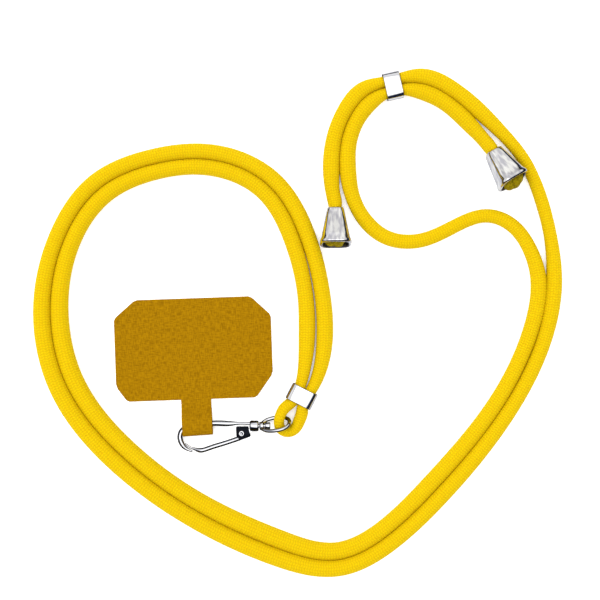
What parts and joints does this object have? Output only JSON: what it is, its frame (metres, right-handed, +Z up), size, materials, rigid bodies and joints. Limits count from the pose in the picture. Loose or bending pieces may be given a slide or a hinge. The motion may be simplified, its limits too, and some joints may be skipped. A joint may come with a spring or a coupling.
{
  "type": "phone crossbody strap",
  "caption": "Doubled round braided cord with metal sleeves and bell ends, a swivel snap hook, and a woven cloth card that sits behind a phone.",
  "frame": {"origin": "centre of the cloth card's underside, on the surface that the strap lies on", "axes": "+Z up out of the cloth card's face, +X along its long side towards the bells, +Y towards the top of the picture"},
  "size_m": [0.2215, 0.2125, 0.0145],
  "materials": {
    "cord": "round yellow braid, slightly glossy",
    "chrome": "polished nickel-chrome plate",
    "cloth": "matte ochre plain weave"
  },
  "bodies": {
    "strap": {"cord": "cord", "top_sleeve": "chrome", "lower_sleeve": "chrome", "left_bell": "chrome", "right_bell": "chrome", "phone_patch": "cloth", "hook_frame": "chrome", "gate_rivet": "chrome", "swivel_ring": "chrome"},
    "gate": {"hook_gate": "chrome"}
  },
  "joints": [
    {"name": "gate_hinge", "type": "hinge", "parent": "strap", "child": "gate", "pos_m": [0.02045, -0.03542, 0.00343], "axis": [0.0436, 0, -0.999], "range_deg": [0, 6], "stiffness_Nm_per_rad": 0.02}
  ]
}
